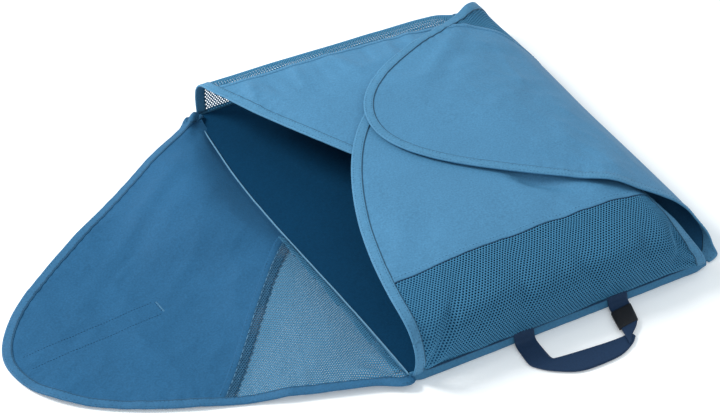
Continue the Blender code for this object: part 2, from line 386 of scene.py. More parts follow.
class RightFlap(ClosedFlap):
    # All tables of hills: height, middle (2), radii (2), degrees
    EDGE_LIFT = [(4.0, 60, 205, 70, 22, 35), (7.0, 138, 128, 44, 22, 38)]
    RELIEF = [
        # puckers beside the net seam, and a soft drag line towards the front corner
        (1.1, -118, 112, 12, 34, 20), (-0.9, -95, 100, 10, 30, 15), (0.8, 60, 120, 120, 10, 38),
        # the back corner stands up where its edge tape turns over the shoulder
        (8.5, -196, 64, 24, 24), (3.0, -120, 60, 80, 22), (7.0, -174, 88, 14, 20),
        # drag lines from both base corners towards the tip
        (1.5, 112, 158, 92, 8, -45), (-1.3, 84, 150, 84, 9, -45), (1.2, 40, 190, 60, 8, -52),
        (1.3, -118, 146, 80, 8, 53), (-1.1, -92, 150, 76, 9, 53), (1.0, -40, 120, 9, 46, 8)]

    def shape(self, along, run, out, share):
        # flatter towards the back, with an ear at the front corner
        out = out * (1 - 0.25 * smooth(-along, 120, 200))
        out = out + hills(along, run, [(13, 204, 7, 12, 10), (-3.5, 188, 36, 24, 12)])
        return out, share + hills(along, run, [(-0.08, 203, 9, 13, 11)])

    def tune(self, along, reach, run, x, y, z):
        # the front edge stands a little off the cover below it
        z = z + hills(along, reach, self.EDGE_LIFT) * smooth(run, 40, 90)
        z = z + hills(along, reach, self.RELIEF)
        # the back corner leans back and in, and the wall behind the middle bulges out
        y = y + hills(along, reach, [(4.5, -200, 58, 18, 24)])
        x = x + hills(along, reach, [(-6.0, -200, 64, 18, 22)])
        x = x + hills(along, run, [(2.0, -130, 28, 90, 14)])
        return x, y, z


class EndFlap(ClosedFlap):
    """Front or back flap: it also follows the load's right shoulder."""

    def tune(self, along, reach, run, x, y, z):
        drop = 1 - right_drop(x + 2.5)
        z = np.where(run < 0, z, z * (1 - smooth(z, 12, 45) * drop))
        # the upper right corner is drawn in, by 15 along x and corner_pull along y
        pull = smooth(x, 104, HALF_WIDTH) * smooth(z, 3, 46)
        x = x - 15 * pull
        near_end = smooth(np.abs(y), HALF_LENGTH - 60, HALF_LENGTH)
        y = y - np.sign(y) * self.corner_pull * pull * near_end
        return x, y, z


class FrontFlap(EndFlap):
    corner_pull = 9
    NET_SWELLS = [                             # outwards, placed by along and profile run
        (2.6, 70, 50, 26, 22, 20), (2.4, 8, 36, 24, 26, -20), (2.4, -60, 52, 26, 22, 25),
        (1.8, -112, 34, 20, 24, -15),
        # creases: the first two rise from the left corner
        (-3.4, 116, 38, 40, 5.5, -52), (-1.8, 96, 26, 36, 5, -30), (-2.4, 38, 40, 8, 30, 12),
        (-2.2, -26, 44, 8, 30, -14), (-2.0, -90, 46, 7, 26, 16), (-3.0, -132, 42, 5.5, 34, 34)]
    COVER_DENTS = [(-8.5, 40, -99, 28, 8.5, -44), (1.2, 78, -132, 20, 14, -40)]    # by x and y
    COVER_DRAGS = [(1.3, 88, 190, 84, 8, 118), (-1.1, 66, 182, 74, 9, 118),
                   (1.2, 20, 168, 50, 9, 104), (1.0, -60, 176, 60, 9, 66),
                   (-0.9, -30, 160, 46, 9, 84)]

    def tune(self, along, reach, run, x, y, z):
        x, y, z = super().tune(along, reach, run, x, y, z)
        slack = (hills(along, run, self.NET_SWELLS) + 0.9 * noise(along / 17.0, run / 24.0, 61)
                 + 1.3 * fan(along, run, (153, 0), folds=11, radius=34, spread=24, phase=0.8)
                 + 1.4 * fan(along, run, (-153, 0), folds=12, radius=36, spread=26, phase=2.2))
        y = y - (1 - smooth(run, 95, 125)) * slack
        z = z + hills(x, y, self.COVER_DENTS)
        z = z + smooth(run, 60, 100) * hills(along, reach, self.COVER_DRAGS)
        return x, y, z


class BackFlap(EndFlap):
    corner_pull = 5
    SEAM_PUCKERS = [(-120, 12, 1.2), (-98, -8, -0.9), (-70, 10, 1.0), (-48, 4, -0.8),
                    (-22, -12, 1.0), (5, 6, -0.8), (28, 12, 1.0), (55, -4, 0.8),
                    (85, 8, -0.7)]             # (place along, degrees, height)
    COVER_DRAGS = [(1.4, -76, 178, 84, 8, 58), (-1.2, -50, 170, 76, 9, 60),
                   (1.1, 30, 150, 10, 50, -14)]

    def tune(self, along, reach, run, x, y, z):
        x, y, z = super().tune(along, reach, run, x, y, z)
        # short puckers run off the net seam
        puckers = hills(along, run, [(height, place, 92 + 4 * math.sin(place), 5.5, 20, degrees)
                                     for place, degrees, height in self.SEAM_PUCKERS])
        drags = hills(along, reach, self.COVER_DRAGS)
        z = z + smooth(run, 50, 75) * (1.7 * puckers + drags)
        return x, y, z


def bow(y):
    """How far the load pushes the base's soft left edge outwards."""
    y = np.asarray(y, float)
    return 10.6 * np.exp(-((y - 75) / np.where(y > 75, 118.0, 165.0)) ** 2)


class LeftFlap(Surface):
    """The open flap, lying on the floor. It comes out from under the bowed base edge."""

    # The fold's memory, a soft ridge: (place along, share of its height, distance out)
    RIDGE = np.array([
        (-200, 0.08, 30), (-120, 0.42, 30), (-30, 0.52, 27), (-7, 0.62, 25),
        (8, 0.80, 34), (25, 0.95, 48), (45, 1.0, 54), (75, 1.0, 55),
        (110, 0.86, 43), (144, 0.64, 27), (164, 0.48, 20), (205, 0.14, 13)])
    RIDGE_HEIGHT = 25.0
    DRAGS = [(1.5, 84, 120, 84, 9, 128), (-1.2, 60, 124, 78, 10, 128), (1.3, -96, 196, 70, 9, 40)]
    RELIEF = [
        (6.0, 198, 8, 16, 20), (2.2, -196, 10, 20, 14),                # slack near both corners
        (1.8, -60, 262, 60, 26, -20), (1.6, 90, 190, 20, 60, 55),      # swells of the cover
        (-0.9, -26, 212, 12, 70, -5)]          # the closure tape beneath stiffens a channel

    def __init__(self):
        self.pucker = Pucker(OUTLINE["left"], seed=21, size=0.5)

    def ridge(self, along, out):
        """The ridge beyond a hollow beside the base."""
        share, crest = (sum(np.interp(along + k, self.RIDGE[:, 0], self.RIDGE[:, column])
                            for k in (-14, -7, 0, 7, 14)) / 5 for column in (1, 2))
        near = np.clip(out / crest, 0, 1)
        rise = np.where(out < crest, 1 - (1 - near) ** 1.9, np.exp(-((out - crest) / 58.0) ** 2))
        return self.RIDGE_HEIGHT * share * rise

    def place(self, along, reach):
        x = -HINGE_X - reach * (1 + 0.012 * smooth(reach, 150, 290))
        y = along - 7.0 * smooth(-along, 40, 140) * smooth(reach, -9, 6)
        y = y + hills(along, reach, [(2.5, 204, 14, 12, 18), (-6.0, -206, 8, 24, 15)])
        out = reach - bow(along)               # measured from the bowed edge
        z = 1.4 + 3.1 * np.exp(-(np.clip(out, 0, None) / 12.0) ** 2) - 1.0 * smooth(-out, 0, 3)
        z = z + self.ridge(along, out)
        z = z + smooth(reach, 12, 60) * (self.pucker(along, reach)
                                         + 2.4 * crumple(along, reach, 71, size=52)
                                         + 0.7 * crumple(along, reach, 75, size=22)
                                         + hills(along, reach, self.DRAGS))
        z = z + hills(along, reach, self.RELIEF)
        # a rippled swell beside the net seam, and slow and quicker waves
        swell = hill(along, reach, -150, 70, 50, 18, -62)
        z = z + 1.6 * swell * (1 + 0.4 * np.sin(along / 9.0))
        z = z + (0.9 * (1 + noise(along / 75, reach / 60, 3))
                 + 0.5 * (1 + noise(along / 31, reach / 36, 4))) * smooth(reach, 10, 70)
        # the edge tape puckers where it turns the corner into the back wall
        ripple = np.sin((along * 0.8 + reach) * 2 * math.pi / 8.5)
        z = z + 2.4 * ripple * hill(along, reach, 200, 14, 11, 18)
        z = z + 1.5 * fan(along, reach, (-206, -2), folds=13, radius=34, spread=26, phase=0.6)
        z = z + 1.1 * fan(along, reach, (206, -2), folds=12, radius=30, spread=24, phase=2.0)
        # ripples at the front corner
        ripple = np.sin((along - 0.5 * reach) * 2 * math.pi / 15.0)
        z = z + (1.1 + 1.1 * ripple) * hill(along, reach, -186, 28, 18, 24, 45)
        z = np.maximum(z, 1.5 + 0.25 * np.tanh((z - 1.5) * 2))       # kept off the floor
        return np.stack([x, y, z], 1)


left = LeftFlap()
right = RightFlap("right", (HINGE_X, 0), outward=(1, 0), sideways=(0, -1),
                  profile=RIGHT_PROFILE, layer=5.0, seed=51, cover_scale=0.885)
front = FrontFlap("front", (0, -HINGE_Y), outward=(0, -1), sideways=(-1, 0),
                  profile=FRONT_PROFILE, layer=2.4, seed=31)
back = BackFlap("back", (0, HINGE_Y), outward=(0, 1), sideways=(1, 0),
                profile=BACK_PROFILE, layer=0.0, seed=41, load=50.0)


class Raised:
    """Another surface, lifted by a fixed amount."""

    def __init__(self, surface, amount):
        self.surface, self.amount = surface, amount

    def at(self, along, reach, lift):
        return self.surface.at(along, reach, lift + self.amount)


# -------------------------------------------------------------------- mesh making
def make(name, points, faces, materials, slots=None, uv=None):
    """A mesh object from millimetre points, its faces turned outwards."""
    points = np.asarray(points, float)
    volume = 0.0
    for face in faces[:: max(1, len(faces) // 200000)]:
        for i in range(1, len(face) - 1):
            volume += np.dot(points[face[0]], np.cross(points[face[i]], points[face[i + 1]]))
    if volume < 0:
        faces = [face[::-1] for face in faces]
    mesh = bpy.data.meshes.new(name)
    mesh.from_pydata((points * MM).tolist(), [], [list(map(int, face)) for face in faces])
    mesh.update()
    for material in materials:
        mesh.materials.append(material)
    if slots is not None:
        mesh.polygons.foreach_set("material_index", np.asarray(slots, np.int32))
    mesh.polygons.foreach_set("use_smooth", np.ones(len(faces), bool))
    if uv is not None:
        layer = mesh.uv_layers.new(name="pattern")
        loops = np.zeros(len(mesh.loops), np.int32)
        mesh.loops.foreach_get("vertex_index", loops)
        layer.data.foreach_set("uv", (np.asarray(uv, float)[loops] * MM).ravel())
    piece = bpy.data.objects.new(name, mesh)
    bpy.context.scene.collection.objects.link(piece)
    return piece


def register(piece, slot, *nodes):
    """Hides the CAD nodes that a piece replaces; slot is not used."""
    if nodes:
        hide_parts(*nodes)


def triangulate(poly, step):
    """A fine triangle mesh of a flat region."""
    poly = resample_loop(poly, step)
    following = np.roll(poly, -1, 0)
    if np.sum(poly[:, 0] * following[:, 1] - following[:, 0] * poly[:, 1]) < 0:
        poly = poly[::-1]
    low, high = poly.min(0), poly.max(0)
    rows = []
    y = low[1] + step * 0.5
    while y < high[1]:
        x = np.arange(low[0] + (0.5 if len(rows) % 2 else 0.0) * step, high[0], step)
        rows.append(np.stack([x, np.full_like(x, y)], 1))
        y += step * 0.866
    points = np.vstack(rows)
    points = points[inside(poly, points)]
    points = points[line_distance(poly, points) > step * 0.55]
    count = len(poly)
    result = delaunay_2d_cdt([Vector(point) for point in np.vstack([poly, points])],
                             [(i, (i + 1) % count) for i in range(count)], [], 1, 1e-6)
    return np.array([tuple(point) for point in result[0]]), [tuple(face) for face in result[2]]


def sheet(name, poly, surface, materials, step=3.0, thick=0.5):
    """Cloth with a thickness: materials are the inner face's and the outer face's."""
    flat, triangles = triangulate(poly, step)
    count = len(flat)
    inner = surface.at(flat[:, 0], flat[:, 1], np.full(count, thick / 2))
    outer = surface.at(flat[:, 0], flat[:, 1], np.full(count, -thick / 2))
    edges = dict.fromkeys((face[i], face[(i + 1) % 3]) for face in triangles for i in range(3))
    border = [(i, j) for i, j in edges if (j, i) not in edges]
    faces = (triangles + [tuple(i + count for i in face[::-1]) for face in triangles]
             + [(j, i, i + count, j + count) for i, j in border])
    slots = [0] * len(triangles) + [1] * (len(triangles) + len(border))
    piece = make(name, np.vstack([inner, outer]), faces, materials, slots,
                 np.vstack([flat, flat]))
    # both faces end in a sharp edge
    rim = {(min(i, j) + k, max(i, j) + k) for i, j in border for k in (0, count)}
    mesh = piece.data
    ends = np.zeros(len(mesh.edges) * 2, np.int32)
    mesh.edges.foreach_get("vertices", ends)
    sharp = [(min(i, j), max(i, j)) in rim for i, j in ends.reshape(-1, 2).tolist()]
    mesh.attributes.new("sharp_edge", "BOOLEAN", "EDGE").data.foreach_set("value", sharp)
    return piece


def net(name, poly, surface, material, pitch=2.9, row=2.45, thick=0.30, hole=(0.47, 0.56)):
    """Knitted net: rounded strands round staggered oval holes.

    Holes are pitch apart in rows row apart, and take up a share of their cell each way.
    The strands stand out by thick on both faces.
    """
    low, high = poly.min(0) - pitch, poly.max(0) + pitch
    centres = []
    for j in range(int(low[1] / row) - 1, int(high[1] / row) + 2):
        x = np.arange(math.floor(low[0] / pitch) * pitch + (pitch / 2 if j % 2 else 0),
                      high[0], pitch)
        centres.append(np.stack([x, np.full_like(x, j * row)], 1))
    centres = np.vstack(centres)
    centres = centres[inside(poly, centres)]
    slant = pitch * pitch / (8 * row)
    half = pitch / 2
    cell = np.array([(half, -(row / 2 - slant)), (half, row / 2 - slant), (0, row / 2 + slant),
                     (-half, row / 2 - slant), (-half, -(row / 2 - slant)),
                     (0, -(row / 2 + slant))])
    corners = (centres[:, None] + cell[None]).reshape(-1, 2)
    # neighbouring cells share their corners
    key = np.round(corners * 20).astype(np.int64)
    _, first, shared = np.unique(key, axis=0, return_index=True, return_inverse=True)
    corners = corners[first]
    rings = (centres[:, None] + (cell * np.array(hole))[None]).reshape(-1, 2)
    total = len(corners)
    flat = np.vstack([corners, corners, rings])
    lift = np.concatenate([np.full(total, thick), np.full(total, -thick), np.zeros(len(rings))])
    outer = shared.reshape(-1).reshape(len(centres), 6)
    ring = 2 * total + np.arange(len(rings)).reshape(len(centres), 6)
    faces, edges = [], []
    for i in range(6):
        j = (i + 1) % 6
        faces.append(np.stack([outer[:, i], outer[:, j], ring[:, j], ring[:, i]], 1))
        faces.append(np.stack([outer[:, j] + total, outer[:, i] + total,
                               ring[:, i], ring[:, j]], 1))
        edges.append(np.stack([outer[:, i], outer[:, j]], 1))
    edges = set(map(tuple, np.vstack(edges).tolist()))
    border = [(j, i, i + total, j + total) for i, j in edges if (j, i) not in edges]
    faces = [tuple(face) for face in np.vstack(faces).tolist()] + border
    return make(name, surface.at(flat[:, 0], flat[:, 1], lift), faces, [material], None, flat)


def tube_faces(sides, count):
    """Faces round a closed section and over both its ends, from lines of count points."""
    faces = [(k * count + i, k * count + i + 1,
              (k + 1) % sides * count + i + 1, (k + 1) % sides * count + i)
             for k in range(sides) for i in range(count - 1)]
    return faces + [tuple(k * count for k in range(sides)),
                    tuple(k * count + count - 1 for k in range(sides))[::-1]]


def oval(across, height, radius_across, radius_height):
    """Section of a cord."""
    return [(across + radius_across * math.cos(angle), height + radius_height * math.sin(angle))
            for angle in np.linspace(0, 2 * math.pi, 9)[:-1]]


def sweep(name, path, section, surface, material, ripple, width=1.0):
    """A tape with a closed section of (across to the right, height), laid along a line."""
    line = resample(path, 3.0)
    normal = right_normals(line)
    run = arc_length(line)
    points, uv = [], []
    for across, height in np.array(section, float):
        flat = line + normal * (across * width)
        lift = (height * (1 + ripple * noise(run / 6.0, across / 3.0, 11))
                + np.sign(height) * ripple * 0.5 * noise(run / 3.1, across / 5.0, 12))
        points.append(surface.at(flat[:, 0], flat[:, 1], lift))
        uv.append(np.stack([run, np.full(len(run), across)], 1))
    return make(name, np.vstack(points), tube_faces(len(section), len(line)), [material],
                None, np.vstack(uv))


def stitches(name, rows, surface, material, pitch=3.4, length=2.2, thick=0.26):
    """Rows of thread: each row is (line, distance to its right, height off the cloth's middle)."""
    # corners: both ends, both sides, top and bottom
    octahedron = np.array([(0, 2, 4), (2, 1, 4), (1, 3, 4), (3, 0, 4),
                           (2, 0, 5), (1, 2, 5), (3, 1, 5), (0, 3, 5)])
    points, faces, total = [], [], 0
    for path, across, height in rows:
        line = resample(path, 1.0)
        normal = right_normals(line)
        thread = line + normal * across
        run = arc_length(thread)
        middle = np.arange(3.0, run[-1] - 3.0, pitch * (1))

        def at(where, lift, aside=0.0):
            flat = sample(where, run, thread) + sample(where, run, normal) * aside
            return surface.at(flat[:, 0], flat[:, 1], np.full(len(where), lift))

        sign = np.sign(height)
        points.append(np.stack([at(middle - length / 2, height - sign * 0.12),
                                at(middle + length / 2, height - sign * 0.12),
                                at(middle, height, thick), at(middle, height, -thick),
                                at(middle, height + sign * thick),
                                at(middle, height - sign * 0.25)], 1).reshape(-1, 3))
        triangles = octahedron[:, ::-1] if sign > 0 else octahedron
        starts = np.arange(len(middle))[:, None, None] * 6
        faces.append((starts + triangles[None] + total).reshape(-1, 3))
        total += len(middle) * 6
    return make(name, np.vstack(points), [tuple(face) for face in np.vstack(faces).tolist()],
                [material])


# ---------------------------------------------------------------------- materials
def cloth_material(name, colour, rough=0.62, period=0.9, weave=0.35, mottle=0.08, sheen=0.10,
                   groove_shade=None, spec=0.22, grain=0.15):
    """Woven cloth.

    period is the weave's spacing and weave its strength; mottle and grain vary the
    brightness slowly and finely; groove_shade is (from, to, darkening) across a tape,
    a band of painted shade for the groove at the tape's stitched inner edge.
    """
    material = bpy.data.materials.new(name)
    material.use_nodes = True
    tree = material.node_tree
    shader = tree.nodes["Principled BSDF"]
    link = tree.links.new

    def node(kind):
        return tree.nodes.new("ShaderNode" + kind)

    def calc(operation, *values):
        result = node("Math")
        result.operation = operation
        for socket, value in zip(result.inputs, values):
            if isinstance(value, (int, float)):
                socket.default_value = value
            else:
                link(value, socket)
        return result.outputs[0]

    def noise_texture(scale, detail):
        texture = node("TexNoise")
        texture.inputs["Scale"].default_value = scale
        texture.inputs["Detail"].default_value = detail
        link(place.outputs["Object"], texture.inputs["Vector"])
        return texture.outputs[0]

    def bump(height, strength, distance):
        result = node("Bump")
        result.inputs["Strength"].default_value = strength
        result.inputs["Distance"].default_value = distance
        link(height, result.inputs["Height"])
        return result

    pattern = node("UVMap")
    pattern.uv_map = "pattern"
    split = node("SeparateXYZ")
    link(pattern.outputs[0], split.inputs[0])
    waves = 2 * math.pi / (period * MM)
    over = calc("SINE", calc("MULTIPLY", split.outputs[0], waves))
    under = calc("SINE", calc("MULTIPLY", split.outputs[1], waves))
    checker = calc("MULTIPLY", over, under)    # over and under of a plain weave
    place = node("TexCoord")
    slow = noise_texture(scale=14, detail=3)
    fine = noise_texture(scale=620, detail=2)

    # brightness: slow mottling, thread grain and the weave itself
    bright = calc("ADD", calc("MULTIPLY", calc("SUBTRACT", slow, 0.5), mottle * 2.4), 1.0)
    bright = calc("ADD", bright, calc("MULTIPLY", calc("SUBTRACT", fine, 0.5), grain * 4))
    bright = calc("ADD", bright, calc("MULTIPLY", checker, weave * 0.14))
    if groove_shade:                              # painted shade of the groove at the tape's inner edge, by its place across the tape
        start, end, darkening = groove_shade
        away = calc("ABSOLUTE", calc("SUBTRACT", split.outputs[1], (start + end) / 2 * MM))
        within = calc("LESS_THAN", away, (end - start) / 2 * MM)
        shade = calc("SUBTRACT", 1.0, calc("MULTIPLY", within, darkening))
        bright = calc("MULTIPLY", bright, shade)
    tinted = node("VectorMath")
    tinted.operation = "SCALE"
    tinted.inputs[0].default_value = colour
    link(bright, tinted.inputs["Scale"])
    link(tinted.outputs[0], shader.inputs["Base Color"])

    # roughness drifts by 0.16 round its set value
    link(calc("ADD", calc("MULTIPLY", slow, 0.16), rough - 0.08), shader.inputs["Roughness"])
    shader.inputs["Specular IOR Level"].default_value = spec
    shader.inputs["Sheen Weight"].default_value = sheen
    shader.inputs["Sheen Roughness"].default_value = 0.45
    # the sheen is a lighter tint of the cloth's colour
    tint = [min(1, value * 1.8 + 0.05) for value in colour]
    shader.inputs["Sheen Tint"].default_value = (*tint, 1)

    # relief: threads, then soft unevenness
    threads = calc("ADD", calc("MULTIPLY", checker, 0.5), calc("MULTIPLY", fine, 0.6))
    threads = bump(threads, strength=weave, distance=0.00012)
    uneven = bump(noise_texture(scale=70, detail=4), strength=0.5, distance=0.0012)
    link(threads.outputs[0], uneven.inputs["Normal"])
    link(uneven.outputs[0], shader.inputs["Normal"])
    return material


OUTER = cloth_material("outer_nylon", colour=(0.062, 0.200, 0.346))
INNER = cloth_material("coated_inside", colour=(0.020, 0.098, 0.204),
                       rough=0.70, weave=0.3, sheen=0.03, spec=0.10)
# The base lining is the inner cloth's navy darkened well below it: painted shade for the shadow
# that falls into the base between the flaps.
SHADED_LINING = cloth_material("base_lining_cloth_painted_shade", colour=(0.002, 0.036, 0.088),
                        rough=0.75, weave=0.25, sheen=0.02, spec=0.06)
# Both tapes carry a band of painted shade along the groove at their stitched inner edge.
TAPE_OPEN = cloth_material("binding_tape_inside", colour=(0.026, 0.120, 0.238),
                           rough=0.6, period=0.7, weave=0.5, groove_shade=(8.2, 9.4, 0.45))
TAPE = cloth_material("binding_tape_cloth", colour=(0.066, 0.208, 0.352),
                      rough=0.6, period=0.7, weave=0.5, groove_shade=(9.1, 10.4, 0.55))
BAND = cloth_material("base_band_cloth", colour=(0.038, 0.155, 0.280),
                      rough=0.6, period=0.7, weave=0.5)
# SEAM's near-black is dark thread and edging. On the closed flaps' seam cord it is partly painted
# shade of the seam's groove.
SEAM = cloth_material("seam_edge", colour=(0.008, 0.040, 0.090), rough=0.7, weave=0.4, sheen=0.1)
NET = cloth_material("net_thread", colour=(0.040, 0.180, 0.320),
                     rough=0.6, weave=0.0, mottle=0.05, sheen=0.3, grain=0.08)
NET_OPEN = cloth_material("net_thread_open_flap", colour=(0.052, 0.200, 0.345),
                          rough=0.6, weave=0.0, mottle=0.05, grain=0.08)
NET_HEM = cloth_material("net_thread_hem", colour=(0.022, 0.095, 0.180),
                         rough=0.65, weave=0.0, sheen=0.2)
PIPING = cloth_material("piping_cord", colour=(0.105, 0.250, 0.380),
                        rough=0.55, period=0.6, weave=0.4)
THREAD_LIGHT = cloth_material("stitch_thread", colour=(0.150, 0.350, 0.530),
                              rough=0.5, weave=0.0, sheen=0.3)
THREAD = cloth_material("stitch_thread_dark", colour=(0.020, 0.085, 0.165),
                        rough=0.5, weave=0.0, sheen=0.2)
WEBBING = cloth_material("webbing", colour=(0.009, 0.030, 0.075),
                         rough=0.65, period=1.6, weave=0.9, sheen=0.25, grain=0.10)
LABEL = cloth_material("label_cloth", colour=(0.012, 0.012, 0.014),
                       rough=0.5, period=0.5, weave=0.5, sheen=0.15)
PILE = cloth_material("closure_pile", colour=(0.020, 0.060, 0.130),
                      rough=0.9, period=1.1, weave=1.0, sheen=0.5, grain=0.25)
BOARD = cloth_material("board_sheet", colour=(0.40, 0.42, 0.44), rough=0.4, weave=0.0, sheen=0.0)


# ---------------------------------------------------------------- cutting patterns
def cloth_region(edge):
    """The cloth inside a flap's edge, from the base outwards."""
    line = resample(edge, 2.5)
    line = line + right_normals(line) * 4.0
    line = line[line[:, 1] > 0.0]
    return np.vstack([[(line[0, 0], 0.0)], line, [(line[-1, 0], 0.0)]])


def clip(poly, line, keep_right, over):
    """The part of a region on one side of an open line that crosses it, and a bit over."""
    side = 1 if keep_right else -1
    line = np.asarray(line, float)
    line = line - right_normals(line) * (over * side)
    # the line drawn out both ways, and a big region on its kept side
    start = line[0] - unit(line[1] - line[0]) * 400
    end = line[-1] + unit(line[-1] - line[-2]) * 400
    full = np.vstack([[start], resample(line, 4.0), [end]])
    way = end - start
    aside = unit(np.array([way[1], -way[0]])) * 900 * side
    poly = resample_loop(poly, 1.0)
    kept = inside(np.vstack([full, [end + aside], [start + aside]]), poly)
    if kept.all() or not kept.any():
        return poly
    first = next(i for i in range(len(kept)) if kept[i] and not kept[i - 1])
    part = []
    for i in range(len(kept)):
        j = (first + i) % len(kept)
        if not kept[j]:
            break
        part.append(poly[j])
    part = np.array(part)
    # close the part along the line
    fine = resample(full, 1.0)
    i = int(np.argmin(np.linalg.norm(fine - part[-1], axis=1)))
    j = int(np.argmin(np.linalg.norm(fine - part[0], axis=1)))
    closing = fine[i:j + 1] if i < j else fine[j:i + 1][::-1]
    return np.vstack([part, closing[1:-1]]) if len(closing) > 2 else part


def crossing(start, end, reach):
    """Where a segment crosses a line of constant reach."""
    t = (reach - start[1]) / (end[1] - start[1])
    return start[0] + t * (end[0] - start[0]), reach


def cut_region(poly, reach, above):
    """The part of a region above or below a line of constant reach."""
    result = []
    for i in range(len(poly)):
        keep = (poly[i][1] > reach) == above
        if keep != ((poly[i - 1][1] > reach) == above):
            result.append(crossing(poly[i - 1], poly[i], reach))
        if keep:
            result.append(tuple(poly[i]))
    return np.array(result)


def cut_line(line, reach, above):
    """The runs of a line that lie above or below a line of constant reach."""
    runs, run = [], []
    for i in range(len(line)):
        keep = (line[i, 1] > reach) == above
        if i and keep != ((line[i - 1, 1] > reach) == above):
            run.append(crossing(line[i - 1], line[i], reach))
            if not keep:
                runs.append(np.array(run))
                run = []
        if keep:
            run.append(tuple(line[i]))
    if len(run) > 1:
        runs.append(np.array(run))
    return [run for run in runs if arc_length(run)[-1] > 3]


def seam_inside(seam, edge, margin):
    """The part of a seam inside a flap's edge, by a margin."""
    line = resample(np.asarray(seam, float), 1.0)
    edge = resample(edge, 2.5)
    clear = line_distance(edge, line, closed=False) > margin
    return line[inside(edge, line) & clear & (line[:, 1] > 1.0)]


# ---------------------------------------------------------------------- the flaps
# Sections: (distance to the right of the line, height towards the inner face)
TAPE_SECTION = [
    (-0.25, 0.0), (-0.05, -0.62), (0.6, -0.95), (2.4, -1.02), (5.0, -1.10), (7.8, -1.02),
    (9.3, -0.95), (10.0, -0.70), (9.85, -0.30), (9.85, 0.30), (10.0, 0.70), (9.3, 0.95),
    (7.8, 1.02), (5.0, 1.10), (2.4, 1.02), (0.6, 0.95), (-0.05, 0.62)]
TAPE_STITCHES = [(7.7, -1.04), (7.7, 1.04), (1.9, -1.02), (1.9, 1.02)]
SEAM_FOLD = [
    (5.2, -0.30), (5.2, -0.55), (4.8, -0.72), (-0.4, -0.74), (-0.9, -0.5),
    (-0.9, 0.5), (-0.4, 0.74), (4.8, 0.72), (5.2, 0.55), (5.2, 0.30)]
SEAM_CORD = oval(across=-1.15, height=0, radius_across=-0.55, radius_height=0.62)
SEAM_STITCHES = [(3.6, -0.76), (3.6, 0.76)]


def build_flap(side, surface, seam, tape_width=1.0, net_form=None, flatten=None):
    """One flap: cloth, net, seam, edge tape and stitches, across both its folds.

    The cloth lies to the right of the seam and the net to its left.  A wall that swells
    past its fold is cut where it crosses the fold's plane, and the part below is
    attached to the wall's body.
    """
    is_open = side == "left"
    edge = OUTLINE[side]
    cad_nodes = [node for node in frame["nodes"]
                 if node.startswith((side + "_wall", side + "_flap"))]
    whole = cloth_region(edge)
    cloth = clip(whole, seam, keep_right=True, over=1.5)
    mesh = clip(whole, seam, keep_right=False, over=2.5)
    if side in ("left", "right"):              # these tapes start below the base's edge
        edge = np.vstack([[(edge[0, 0], -2.5)], edge, [(edge[-1, 0], -2.5)]])
    tape_line = resample(edge, 2.5)
    seam_line = seam_inside(seam, OUTLINE[side], margin=6.0)
    split = surface.split() if flatten else None

    for part in ("_wall", "") if flatten else ("",):
        upper = part == ""
        made = []

        def keep(piece, slot, kind=None):
            nodes = [node for node in cad_nodes if kind in node] if kind and upper else []
            register(piece, slot, *nodes)
            made.append(piece)

        if flatten:
            cloth_part, net_part = (cut_region(area, split, upper) for area in (cloth, mesh))
            tapes, seams = (cut_line(line, split, upper) for line in (tape_line, seam_line))
        else:
            cloth_part, net_part, tapes, seams = cloth, mesh, [tape_line], [seam_line]

        name = side + part
        if len(cloth_part) > 2:
            keep(sheet(name + "_cloth", cloth_part, surface, [INNER, OUTER]),
                 "inner_fabric" if is_open else "outer_fabric", "panel")
        if len(net_part) > 2:
            keep(net(name + "_net", net_part, surface, NET_OPEN if is_open else NET,
                     **(net_form or {})), "net", "mesh")
        for i, line in enumerate(tapes):
            number = f"_{i + 1}" if len(tapes) > 1 else ""
            keep(sweep(name + "_edge_tape" + number, line, TAPE_SECTION, surface,
                       TAPE_OPEN if is_open else TAPE, ripple=0.10, width=tape_width),
                 "binding_tape", "binding" if i == 0 else None)
        rows = [(line, across * tape_width, height)
                for line in tapes for across, height in TAPE_STITCHES]
        keep(stitches(name + "_edge_stitches", rows, surface, THREAD), "binding_tape")
        for line in seams:
            if arc_length(line)[-1] < 8:
                continue
            keep(sweep(name + "_seam_fold", line, SEAM_FOLD, surface,
                       INNER if is_open else OUTER, ripple=0.06), "outer_fabric")
            # On the closed flaps this near-black cord is partly the overlock edge and partly
            # painted shade of the groove where the folded cloth overlaps the net.
            keep(sweep(name + "_seam_overlock", line, SEAM_CORD, surface,
                       PIPING if is_open else SEAM, ripple=0.15), "piping")
            rows = [(line, across, height) for across, height in SEAM_STITCHES]
            keep(stitches(name + "_seam_stitches", rows, surface, THREAD), "binding_tape")
        for piece in made:
            if upper:
                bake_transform(piece)
            else:
                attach(piece, side + "_wall")
                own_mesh(piece)


# Seams between net and cloth, in the flat pattern
LEFT_SEAM = [(13.5, -1), (-143.5, 150), (-162, 168)]
RIGHT_SEAM = catmull([(-62, -4), (-100, 34), (-134, 72), (-150, 106), (-153, 146), (-154, 170)])
FRONT_SEAM = [(175, WALL["front"] + 56.0), (-175, WALL["front"] + 56.0)]
BACK_SEAM = catmull([(along, WALL["back"] + past) for along, past in
                     ((175, 30), (90, 37), (20, 33), (-60, 30), (-115, 26), (-175, 16))])

build_flap("left", left, LEFT_SEAM, tape_width=0.9,
           net_form={"pitch": 2.1, "row": 1.8, "hole": (0.36, 0.44), "thick": 0.24})
build_flap("right", right, RIGHT_SEAM,
           flatten={"axis": (1, 0, 0), "anchor": metres(HINGE_X, 0, 0), "keep": 0.22})
build_flap("front", front, FRONT_SEAM,
           flatten={"axis": (0, 1, 0), "anchor": metres(0, -HINGE_Y, 0), "keep": 0.2})
build_flap("back", back, BACK_SEAM)


